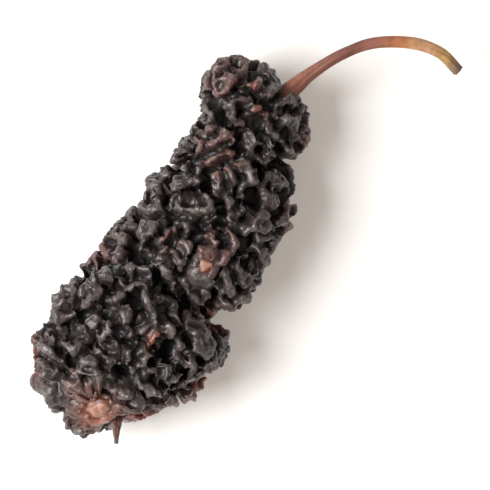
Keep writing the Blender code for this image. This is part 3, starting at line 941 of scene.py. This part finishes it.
def add_rod(bm, route, sides, rings, plain, ribs, knots):
    """A rod drawn out ring by ring along the route. Its radius, as a share of the route's, is the plain one
    with ribs and knots. Each kind of rib has a count, the phase in radians that it turns through from end
    to end, and a height. The knots have a closeness and a height."""
    last, step = len(route) - 1, 0.02
    ring = bmesh.ops.create_circle(bm, cap_ends=True, segments=sides, radius=1)["verts"]
    turns = {vert: math.atan2(vert.co.y, vert.co.x) for vert in ring}
    for i in range(rings + 1):
        share = i / rings
        if i:
            edges = [edge for edge in bm.edges if edge.verts[0] in turns and edge.verts[1] in turns]
            drawn = bmesh.ops.extrude_edge_only(bm, edges=edges)["geom"]
            before, turns = turns, {}
            for vert in (part for part in drawn if isinstance(part, bmesh.types.BMVert)):
                below = next(e.other_vert(vert) for e in vert.link_edges if e.other_vert(vert) in before)
                turns[vert] = before[below]
        place = spline(route, share * last)
        ahead = spline(route, min(share * last + step, last)) - spline(route, max(share * last - step, 0))
        upright = ahead.xyz.to_track_quat("Z", "Y").to_matrix()
        for vert, turn in turns.items():
            rib = sum(height * math.cos(count * turn + twist * share) for count, twist, height in ribs)
            knot = knots[1] * noise.noise(Vector((knots[0] * share, math.cos(turn), math.sin(turn))))
            radius = place[3] * (plain + rib + knot)
            vert.co = place.xyz + upright @ Vector((math.cos(turn), math.sin(turn), 0)) * radius
    bmesh.ops.contextual_create(bm, geom=list(turns))
    bmesh.ops.recalc_face_normals(bm, faces=bm.faces)


# %% [markdown]
# ## The stalk
#
# The fresh stalk is a round green stem. Dry, it is a thin brown string whose soft outside has shrunk
# between its fibres, so it has ridges along it that twist a little. It swells where it meets the fruit, is
# dark red there, pales to straw where the light has bleached it, and ends in a dark cut.

# %% Model the stalk
stalk_bm = bmesh.new()
add_rod(
    stalk_bm, STALK_ROUTE, sides=36, rings=150,
    plain=1.0, ribs=((7, 15.4, 0.075), (3, 12.6, 0.05)), knots=(9, 0.06),
)
stalk = finished("stalk_dry", stalk_bm, "stalk")

# %% [markdown]
# ## Dry stalk
#
# The stalk's outside is dry fibre, so it is matt. A ramp of colours along Y, the way the stalk runs, is
# easier to change than painted ones. Darker streaks and a fine grain show the fibres.

# %% Make the stalk's material
STALK_ENDS = (-1.2, -9.2)  # y where the ramp starts and where it ends, in mm
STALK_TONES = (  # how far along the ramp, and the colour there
    (0.1, "#8a5644"), (0.21, "#7a4a3c"), (0.29, "#6e3f30"), (0.38, "#965f50"), (0.49, "#a86848"),
    (0.56, "#c07c4c"), (0.66, "#cf9a70"), (0.75, "#d3a078"), (0.86, "#c29a5a"), (0.93, "#98795c"),
)
tree, shader = new_material("dry_woody_stalk", stalk)
place = add_node(tree, "TexCoord", out="Object")
along = add_node(tree, "SeparateXYZ", out="Y", Vector=place)
along = add_node(tree, "MapRange", i0=along, i1=STALK_ENDS[0] * MM, i2=STALK_ENDS[1] * MM)
colour = add_node(tree, "ValToRGB", Fac=along)
tones = colour.node.color_ramp.elements
tones[0].color = linear("#a86a55")
tones[1].color = linear("#6e5f5c")
for share, tone in STALK_TONES:
    tones.new(share).color = linear(tone)
streaks = patches(tree, place, size=0.35, start=0.4, full=0.65, most=0.3)
colour = add_node(tree, "Mix", COLOURS, 2, i0=streaks, i6=colour, i7="#5d3826")
fibres = grained(tree, place, size=0.1, depth=0.03, detail=4.0, Strength=0.5)
fill(tree, shader, Base_Color=colour, Roughness=0.62, Normal=fibres)
print("the stalk's ramp has", len(tones), "colours")

# %% [markdown]
# ## The seeds
#
# Each drupelet holds one hard seed, a flat tan lens with a keel round its edge and a blunt point. It is a
# ball, flattened and narrowed by its own numbers, with a fine pitted face. Towards the tear's edge it is
# painted a darker red-brown, as shade where the torn skin meets it.

# %% Model the seeds
KEEL_HEIGHT, KEEL_WIDTH = 0.07, 0.16  # sizes on a seed are shares of its half size
SEED_TAPER = 0.18
PITS = ((3.1, 0.018), (9, 0.008))  # their closeness and depth
PLAIN_SIZE = 0.985  # the size before pits and bumps
SEED_RIM_SHADE = (0.45, 1.1)  # the shares of the tear's half angle where the painted rim shade starts and where it is full
SEED_RIM_SHADE_RAGGED, SEED_RIM_SHADE_SPREAD = 0.6, 2.4  # how far its edge runs in and out, as an angle, and how closely

bare_seeds = []
for name, seat in SEED_PLACES.items():
    towards, half_angle, _ = TEARS[name]
    seed_bm = bmesh.new()
    bmesh.ops.create_uvsphere(seed_bm, u_segments=56, v_segments=36, radius=1)
    for vert in seed_bm.verts:
        keel = 1 + math.exp(-((vert.co.z / KEEL_WIDTH) ** 2)) * KEEL_HEIGHT
        dents = sum(depth * noise.noise(vert.co * closely) for closely, depth in PITS)
        formed = Vector((vert.co.x * keel, vert.co.y * (1 - SEED_TAPER * vert.co.x) * keel, vert.co.z))
        vert.co = formed * (1 + dents) * PLAIN_SIZE
    # painted shade: the seed is darker towards the tear's edge
    seed_rim_shade = seed_bm.verts.layers.float.new("seed_rim_shade")
    for vert in seed_bm.verts:
        off = vert.co.angle(Vector(towards)) + SEED_RIM_SHADE_RAGGED * noise.noise(vert.co * SEED_RIM_SHADE_SPREAD)
        vert[seed_rim_shade] = float(smoothstep(SEED_RIM_SHADE[0] * half_angle, SEED_RIM_SHADE[1] * half_angle, off))
    seed_bm.transform(seed_stand(seat) @ Matrix.Diagonal((*SEED_HALF_SIZE, 1)))
    bare_seeds.append(finished(f"{name}_bare", seed_bm, name))

# %% [markdown]
# ## Hard seed shell
#
# The shell is hard, with a faint gloss. Two tans in patches make it mottled. A painted shade, darker
# red-brown towards the tear's edge, comes in by the attribute set on the form, so it follows each tear, and
# grain too fine to model is a bump.

# %% Make the seeds' material
tree, shader = new_material("hard_seed_shell", *bare_seeds)
place = add_node(tree, "TexCoord", out="Object")
rim_shaded = add_node(tree, "Attribute", {"attribute_name": "seed_rim_shade"}, "Fac")
mottle = patches(tree, place, size=0.4, start=0.35, full=0.65)
colour = add_node(tree, "Mix", COLOURS, 2, i0=mottle, i6="#b58775", i7="#8d5f4f")
# painted shade: darker red-brown towards the tear's edge
colour = add_node(tree, "Mix", COLOURS, 2, i0=rim_shaded, i6=colour, i7="#5c2c20")
pitted = grained(tree, place, size=0.08, depth=0.02, Strength=0.4)
fill(tree, shader, Base_Color=colour, Roughness=0.42, Normal=pitted)
print(len(bare_seeds), "seeds share this material")

# %% [markdown]
# ## The style at the tip
#
# Every drupelet once had a style, the thread that took the pollen. One thick one is left at the tip. It is
# flat and crooked, broken off at its end, and grey where it is driest.

# %% Model the style
style_bm = bmesh.new()
add_rod(
    style_bm, STYLE_ROUTE, sides=24, rings=40,
    plain=0.8, ribs=((2, 1.2, 0.22), (5, 3, 0.1)), knots=(5, 0.3),
)
style = finished("style_dry", style_bm, "style")

# %% [markdown]
# ## Dry style
#
# The style is a scrap of dry, matt tissue. Two browns in patches show its fibres, and it fades to grey
# along X towards its broken end, because that end stands free and has dried most.

# %% Make the style's material
STYLE_FADES = (-10.5, -11.1)  # x where the grey starts and where it is full, in mm
tree, shader = new_material("dry_style", style)
place = add_node(tree, "TexCoord", out="Object")
faded = add_node(tree, "SeparateXYZ", out="X", Vector=place)
faded = add_node(tree, "MapRange", SMOOTH, i0=faded, i1=STYLE_FADES[0] * MM, i2=STYLE_FADES[1] * MM)
tinged = patches(tree, place, size=0.3, start=0.35, full=0.65)
colour = add_node(tree, "Mix", COLOURS, 2, i0=tinged, i6="#63433a", i7="#8c6a5f")
colour = add_node(tree, "Mix", COLOURS, 2, i0=faded, i6=colour, i7="#756863")
fibres = grained(tree, place, size=0.1, depth=0.03, detail=4.0, Strength=0.5)
fill(tree, shader, Base_Color=colour, Roughness=0.6, Normal=fibres)
print("the style's material has", len(tree.nodes), "nodes")

# %% [markdown]
# ## Floor, light and camera
#
# The berry lies on a plain white table that glows a little, as a light table does, so that its shadow stays
# soft and pale. One large window on the left throws that shadow to the right. The camera looks straight
# down, turned so that the berry stands on its tip with the stalk at the upper right.

# %% Set the stage
TURN = math.radians(64)  # the berry's +X, measured from the picture's right
RIGHT = Vector((math.cos(TURN), -math.sin(TURN), 0))
UP = Vector((math.sin(TURN), math.cos(TURN), 0))
CENTRE = Vector((1.26, -2.95, 3.0)) * MM
FLOOR_SIDE, FLOOR_GAP = 1200, 0.02  # in mm, with the gap under the berry
WINDOW_PLACE = (-122, -8, 142)  # right of the picture's middle, up from it and towards the camera, in mm
WINDOW_SIDE, WINDOW_POWER = 115, 0.52  # in mm and W

bpy.ops.mesh.primitive_plane_add(size=FLOOR_SIDE * MM, location=(0, 0, -FLOOR_GAP * MM))
floor = bpy.context.object
floor.name = "floor"
tree, shader = new_material("white_light_table", floor)
fill(tree, shader, Base_Color="#f4f4f4", Roughness=0.9, Emission_Color="#fff0e2", Emission_Strength=0.25)

right, up, towards = WINDOW_PLACE
away = (RIGHT * right + UP * up + Vector((0, 0, towards))) * MM
window_data = bpy.data.lights.new("window", "AREA")
window_data.size = WINDOW_SIDE * MM
window_data.energy = WINDOW_POWER
window = bpy.data.objects.new("window", window_data)
window.location = CENTRE + away
window.rotation_euler = away.to_track_quat("Z", "Y").to_euler()
bpy.context.scene.collection.objects.link(window)
world = bpy.data.worlds.new("room")
bpy.context.scene.world = world
world.use_nodes = True
fill(world.node_tree, world.node_tree.nodes["Background"], Color="#fff8f2", Strength=0.28)
bpy.context.scene.view_settings.view_transform = "Standard"
print("the window is", round(away.length / MM), "mm from the berry")

# %% Aim the camera
DISTANCE = 200.0  # this and the picture's width are in mm, like the sensor
WIDTH = 26.0
SENSOR = 36
camera_data = bpy.data.cameras.new("camera")
camera_data.sensor_width = SENSOR
camera_data.lens = SENSOR * DISTANCE / WIDTH
camera_data.clip_start = 1 * MM
camera_data.clip_end = 2
camera = bpy.data.objects.new("camera", camera_data)
axes = Matrix((RIGHT, UP, Vector((0, 0, 1)))).transposed()
camera.matrix_world = Matrix.Translation(CENTRE + Vector((0, 0, DISTANCE * MM))) @ axes.to_4x4()
bpy.context.scene.collection.objects.link(camera)
bpy.context.scene.camera = camera
print("the lens is", round(camera_data.lens), "mm long")
